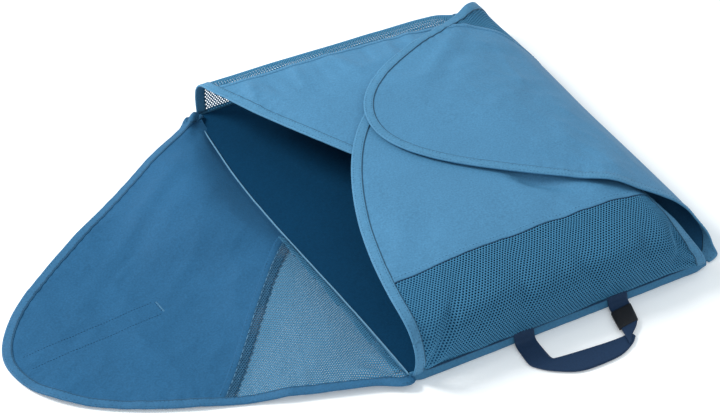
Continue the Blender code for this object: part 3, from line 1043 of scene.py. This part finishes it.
def left_hems():
    """Second layers of net, beside the open flap's seam and where its net meets the base."""
    line = seam_inside(LEFT_SEAM, OUTLINE["left"], margin=8.0)
    normal = right_normals(line)
    strip = np.vstack([line - normal * 1.4, (line - normal * 8.8)[::-1]])
    hem = net("left_net_hem", strip, Raised(left, 0.75), NET_HEM,
              pitch=2.2, row=1.85, hole=(0.40, 0.48), thick=0.25)
    register(hem, "net")
    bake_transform(hem)
    thread = stitches("left_net_hem_stitches", [(line, -7.9, 1.25), (line, -2.6, 1.25)],
                      left, THREAD, pitch=2.6, length=1.9)
    register(thread, "net")
    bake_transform(thread)

    # the base hem is narrower, and follows the bowed edge
    along = np.linspace(-188.0, 2.0, 48)
    strip = np.vstack([np.stack([along, bow(along) + 2.0], 1),
                       np.stack([along, bow(along) + 9.4], 1)[::-1]])
    hem = net("left_net_base_hem", strip, Raised(left, 0.75), NET_OPEN,
              pitch=2.2, row=1.85, hole=(0.34, 0.42), thick=0.25)
    register(hem, "net")
    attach(hem, "left_wall")


def right_corner_lining():
    """Cloth behind the net at the closed back corner, where the flaps overlap."""
    corner = clip(cloth_region(OUTLINE["right"]), RIGHT_SEAM, keep_right=False, over=2.5)
    corner = cut_region(corner, max(right.split(), 40.0), above=True)
    lining = sheet("right_corner_lining", corner, Raised(right, 1.1), [INNER, OUTER], step=3.6)
    register(lining, "outer_fabric")
    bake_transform(lining)


left_hems()
right_corner_lining()


# ------------------------------------------------------------------ closure tapes
def closure(name, surface, start, end, lift, body, node, thread_heights):
    """A straight strip of closure tape, stitched along both sides and its first end."""
    start, end = np.array(start), np.array(end)
    way = unit(end - start)
    aside = np.array([way[1], -way[0]])
    wide = aside * 9.7
    strip = sheet(name, np.array([start + wide, end + wide, end - wide, start - wide]),
                  Raised(surface, lift), [PILE, PILE], step=2.5, thick=0.9)
    register(strip, "closure_tape", node)
    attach(strip, body)
    lines = [np.array([start + aside * 8.6 + way * 1.5, end + aside * 8.6 - way * 1.5]),
             np.array([start - aside * 8.6 + way * 1.5, end - aside * 8.6 - way * 1.5]),
             np.array([start + aside * 9.4 + way * 1.2, start - aside * 9.4 + way * 1.2])]
    thread = stitches(name + "_stitches",
                      [(line, 0, height) for height in thread_heights for line in lines],
                      surface, SEAM, pitch=2.7, length=2.1, thick=0.30)
    register(thread, "closure_tape")
    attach(thread, body)


closure("left_loop_strip", left, start=(-21.0, 147.0), end=(-32.0, 279.0), lift=-0.72,
        body="left_cover", node="left_loop_tape", thread_heights=(0.36, -1.2))
closure("right_hook_strip", right, start=(32.0, 156.0), end=(25.0, 238.0), lift=0.72,
        body="right_cover", node="right_hook_tape", thread_heights=(1.2,))

# the loop tape's inner end is tacked through with a bar of lighter thread
tack_line = np.array([(-11.6, 147.2), (-30.6, 145.6)])
bartack = stitches("left_loop_bartack", [(tack_line, 0.0, 0.42), (tack_line, 0.7, 0.42)],
                   left, THREAD_LIGHT, pitch=1.3, length=1.5, thick=0.34)
register(bartack, "closure_tape")
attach(bartack, "left_cover")


# --------------------------------------------------------------------------- base
class BaseSheet:
    """A nearly flat sheet of the base, patterned by x and y, uneven away from its edges."""

    def __init__(self, height, uneven=0.0, seed=0):
        self.height, self.uneven, self.seed = height, uneven, seed

    def at(self, x, y, lift):
        inward = smooth(np.minimum(HALF_WIDTH - np.abs(x), HALF_LENGTH - np.abs(y)), 2, 26)
        waves = 0.6 * noise(x / 55, y / 55, self.seed) + 0.4 * noise(x / 21, y / 26, self.seed + 1)
        return np.stack([x, y, self.height + self.uneven * inward * waves + lift], 1)


def floor_outline(margin_x, margin_y):
    """The base's rounded outline inside its margins, its left side pushed out."""
    radius = 5
    x, y = HALF_WIDTH - margin_x - radius, HALF_LENGTH - margin_y - radius
    points = [(sign_x * x + radius * math.cos(angle + quarter * math.pi / 2),
               sign_y * y + radius * math.sin(angle + quarter * math.pi / 2))
              for quarter, (sign_x, sign_y) in enumerate(((1, 1), (-1, 1), (-1, -1), (1, -1)))
              for angle in np.linspace(0, math.pi / 2, 8)]
    line = resample_loop(np.array(points), 5.0)
    line[:, 0] -= bow(line[:, 1]) * smooth(-line[:, 0], 40, 145)
    return line


# The inner floor's near-black lining colour is painted shade.
inner_floor = sheet("base_inner_floor", floor_outline(1.2, 1.6),
                    BaseSheet(cad_box("base_lining")[0][2] + 1.9, uneven=0.6, seed=21),
                    [SHADED_LINING, SHADED_LINING], step=6.0, thick=0.8)
register(inner_floor, "lining_fabric", "base_lining")
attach(inner_floor, "base")
outer_floor = sheet("base_outer_floor", floor_outline(0.8, 0.8), BaseSheet(0.6),
                    [OUTER, OUTER], step=6.0, thick=0.9)
register(outer_floor, "outer_fabric", "bottom_panel")
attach(outer_floor, "base")
board_materials = frame["nodes"]["base_board"].data.materials
board_materials.clear()
board_materials.append(BOARD)


class BaseEdge:
    """A straight base edge, wandering a little, that sections of (out, up) follow."""

    def __init__(self, start, end, outward, wander, seed, swell=None):
        self.start, self.end = np.array(start, float), np.array(end, float)
        self.outward, self.wander = np.array(outward, float), wander
        self.seed, self.swell = seed, swell
        self.length = np.linalg.norm(self.end - self.start)

    def points(self, run, out, up):
        t = (run / self.length)[:, None]
        # rounded off at both corners
        corner = smooth(12 - np.minimum(run, self.length - run), 0, 12)
        out, up = out - 2.2 * corner * (out > 1), up + 0.8 * corner * (up < 3)
        wave = (self.wander * noise(run / 17, 0.5, self.seed)
                + 0.5 * self.wander * noise(run / 6, 1.5, self.seed))
        flat = self.start + (self.end - self.start) * t
        if self.swell:
            out = out + self.swell(flat[:, 1])
        flat = flat + np.outer(out + wave, self.outward)
        return np.stack([flat[:, 0], flat[:, 1], up + 0.3 * wave], 1)


def edge_strip(name, line, section, material, step=3.0):
    count = int(line.length / step) + 1
    run = np.linspace(0, line.length, count)
    points = np.vstack([line.points(run, out, up) for out, up in section])
    uv = np.vstack([np.stack([run, np.full(count, k * 1.6)], 1) for k in range(len(section))])
    return make(name, points, tube_faces(len(section), count), [material], None, uv)


# Sections: (out, up)
BAND_SECTION = [
    (-3.5, 1.1), (-3.0, 0.4), (3.4, 0.25), (4.6, 0.9), (4.9, 2.4), (4.5, 5.4), (3.6, 8.6),
    (2.9, 9.7), (1.8, 10.0), (0.5, 9.4), (0.3, 6.0), (-0.6, 4.6), (-3.2, 4.4)]
PIPING_SECTION = [
    (-4.0, 3.9), (-4.2, 1.0), (-3.4, 0.4), (-0.9, 0.3), (0.1, 0.9), (0.35, 3.0), (0.30, 5.2),
    (0.62, 5.9), (0.60, 6.6), (0.1, 7.15), (-0.55, 7.0), (-0.80, 6.4), (-0.62, 5.7),
    (-0.8, 4.6), (-1.6, 4.0)]


def end_band(side, y, outward, scale, left_over, seed):
    """The band along the base's front or back, with a cord along its top."""
    edge = BaseEdge((-HALF_WIDTH - left_over, y), (HALF_WIDTH + 1.0, y), outward, 0.35, seed)
    band = edge_strip(side + "_base_band", edge, [(out, up * scale) for out, up in BAND_SECTION],
                      BAND)
    register(band, "binding_tape", side + "_base_binding")
    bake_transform(band)
    edge = BaseEdge((-HALF_WIDTH + 6, y), (HALF_WIDTH - 6, y), outward, 0.35, seed)
    cord = edge_strip(side + "_base_seam_cord", edge, oval(3.7, 9.9 * scale, 0.8, 0.8), SEAM)
    register(cord, "binding_tape")
    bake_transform(cord)


def side_piping(side, x, outward, seed, swell, material):
    edge = BaseEdge((x, -HALF_LENGTH + 1.0), (x, HALF_LENGTH - 1.0), outward, 0.22, seed, swell)
    cord = edge_strip(side + "_base_cord", edge, PIPING_SECTION, material, step=2.5)
    register(cord, "piping", side + "_base_piping")
    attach(cord, "base")


end_band("front", -HALF_LENGTH, (0, -1), scale=1.0, left_over=1.0, seed=3)
end_band("back", HALF_LENGTH, (0, 1), scale=0.58, left_over=4.0, seed=8)
side_piping("left", -HALF_WIDTH, (-1, 0), seed=5, swell=bow, material=PIPING)
side_piping("right", HALF_WIDTH, (1, 0), seed=9, swell=None, material=BAND)


# ------------------------------------------------------------------------- handle
FRONT_Y = -HALF_LENGTH

# Straps: stations of (left point, right point), each (x, distance before the base's front, z)
STRAP = [
    ((-52, 3.0, 11.0), (-32, 3.0, 11.0)), ((-52, 5.4, 8.4), (-32, 5.4, 8.4)),
    ((-52.2, 7.0, 4.6), (-32.2, 7.0, 4.6)), ((-52.6, 10.5, 2.1), (-32.6, 10.5, 2.1)),
    ((-53.4, 20, 1.5), (-33, 20, 1.5)), ((-54, 33, 1.5), (-33.2, 33, 1.6)),
    ((-50, 40.5, 1.6), (-32.6, 37.5, 2.4)), ((-40, 50, 1.6), (-29.5, 39.2, 3.2)),
    ((-20, 61, 1.5), (-18, 40.5, 3.0)), ((4, 63, 1.5), (2, 42, 2.4)),
    ((24, 61, 1.5), (22, 43.2, 1.9)), ((39, 54, 1.4), (37, 43, 1.6)),
    ((46, 48, 1.4), (44.5, 41, 1.6))]
STRAP_FOLD = [
    ((45, 3.0, 11.0), (65, 3.0, 11.0)), ((45, 5.4, 8.4), (65, 5.4, 8.4)),
    ((44.8, 7.0, 4.6), (64.8, 7.0, 4.6)), ((44.4, 10.5, 2.6), (64.6, 10.5, 2.6)),
    ((43, 19, 2.6), (62.6, 17, 2.4)), ((39.5, 34, 3.3), (58.5, 31, 2.9)),
    ((37.6, 43, 3.6), (53, 38.5, 3.1)), ((36.4, 50, 3.4), (43.6, 46, 2.6)),
    ((35.2, 55, 2.9), (38.4, 52.6, 2.3))]
LABEL_SLEEVE = [
    ((42.6, 14.5, 2.6), (64.6, 12.2, 2.5)), ((40.6, 22, 2.9), (62.6, 19.4, 2.7)),
    ((38.4, 31, 3.2), (60.0, 28, 3.0)), ((37.2, 36, 3.4), (58.4, 33, 3.1))]


def ribbon(name, stations, thick, material, segments=8):
    """A flat strap through stations, thinner at both its edges."""
    rows = np.array(stations, float)
    rows[..., 1] = FRONT_Y - rows[..., 1]
    left_line, right_line = catmull(rows[:, 0], 6), catmull(rows[:, 1], 6)
    across = right_line - left_line
    middle = (left_line + right_line) / 2
    run = arc_length(middle)
    normal = np.cross(np.gradient(middle, axis=0), across)
    normal /= np.linalg.norm(normal, axis=1)[:, None] + 1e-12
    normal *= np.sign(normal[:, 2:3] + 1e-6)                         # turned upwards
    shares = np.linspace(0, 1, segments + 1)
    heights = thick / 2 * (1 - 0.35 * np.abs(2 * shares - 1) ** 6)
    # over the top, then back underneath
    section = list(zip(shares, heights)) + list(zip(shares[::-1], -heights[::-1]))
    points = np.vstack([left_line + across * share + normal * height
                        for share, height in section])
    uv = np.vstack([np.stack([run, np.full(len(run), share * 20.0)], 1) for share, _ in section])
    return make(name, points, tube_faces(len(section), len(run)), [material], None, uv)


class Plain:
    """The pattern itself, as x and y."""

    def at(self, x, y, lift):
        return np.stack([x, y, lift], 1)


strap = ribbon("handle_strap", STRAP, 1.5, WEBBING)
register(strap, "webbing", "handle_webbing", "handle_anchor_left")
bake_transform(strap)
strap = ribbon("handle_strap_fold", STRAP_FOLD, 1.5, WEBBING)
register(strap, "webbing", "handle_anchor_right")
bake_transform(strap)
sleeve = ribbon("handle_label_sleeve", LABEL_SLEEVE, 3.0, LABEL, segments=10)
register(sleeve, "label", "handle_label")
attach(sleeve, "handle")

# four rows of thread down each end of the strap
tack_rows = []
for x in (-42, 55):
    for k in range(4):
        y = FRONT_Y - 4.4 - k * 0.42
        tack_rows.append((np.array([(x - 9.0, y), (x + 9.0, y)]), 0.0, 10.5 - k * 0.9))
bartacks = stitches("handle_bartacks", tack_rows, Plain(), THREAD, pitch=1.6, length=1.5)
register(bartacks, "webbing")
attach(bartacks, "base")


# ----------------------------------------------------------------- stage and view
def add_floor():
    bpy.ops.mesh.primitive_plane_add(size=12, location=(0, 0, -0.0002))
    floor = bpy.context.object
    floor.name = "studio_floor"
    material = bpy.data.materials.new("studio_floor")
    material.use_nodes = True
    inputs = material.node_tree.nodes["Principled BSDF"].inputs
    inputs["Base Color"].default_value = (0.93, 0.925, 0.92, 1)
    inputs["Roughness"].default_value = 0.9
    inputs["Specular IOR Level"].default_value = 0.2
    inputs["Emission Color"].default_value = (1, 1, 1, 1)
    inputs["Emission Strength"].default_value = 0.14
    floor.data.materials.append(material)


def add_world(colour, strength):
    world = bpy.data.worlds.new("studio")
    world.use_nodes = True
    background = world.node_tree.nodes["Background"]
    background.inputs[0].default_value = (*colour, 1)
    background.inputs[1].default_value = strength
    bpy.context.scene.world = world


def add_light(name, place, size, power, colour=(1, 1, 1)):
    """A round lamp aimed at the folder; place and size in metres."""
    lamp = bpy.data.lights.new(name, "AREA")
    lamp.shape = "DISK"
    lamp.size = size
    lamp.energy = power
    lamp.color = colour
    light = bpy.data.objects.new(name, lamp)
    bpy.context.scene.collection.objects.link(light)
    light.location = place
    aim = Vector((0, 0, 0.03)) - Vector(place)
    light.rotation_euler = aim.to_track_quat("-Z", "Y").to_euler()


def add_camera(place, lens, tilt, heading, roll):
    """Place in metres; tilt down, heading from +Y towards +X, and roll, in radians."""
    camera = bpy.data.objects.new("camera", bpy.data.cameras.new("camera"))
    bpy.context.scene.collection.objects.link(camera)
    bpy.context.scene.camera = camera
    camera.data.sensor_width = 36.0
    camera.data.lens = lens
    camera.data.clip_end = 30
    view = Vector((math.sin(heading) * math.cos(tilt), math.cos(heading) * math.cos(tilt),
                   -math.sin(tilt)))
    level = view.cross(Vector((0, 0, 1))).normalized()
    upright = level.cross(view)
    cos, sin = math.cos(roll), math.sin(roll)
    across, up = level * cos + upright * sin, upright * cos - level * sin
    camera.matrix_world = Matrix([(across[k], up[k], -view[k], place[k]) for k in range(3)]
                                 + [(0, 0, 0, 1)])


add_floor()
add_world(colour=(0.82, 0.93, 1.0), strength=0.69)
add_light("key", place=(-1.55, 1.30, 1.55), size=1.0, power=66, colour=(1.0, 0.985, 0.96))
add_light("fill", place=(-0.6, -2.2, 1.7), size=1.8, power=9)
add_light("rim", place=(1.9, 0.3, 1.6), size=1.4, power=7)
add_camera(place=(-0.90131, -1.43688, 1.41113), lens=118.2659,
           tilt=0.70154, heading=0.51570, roll=0.00839)
bpy.context.scene.view_settings.view_transform = "Standard"
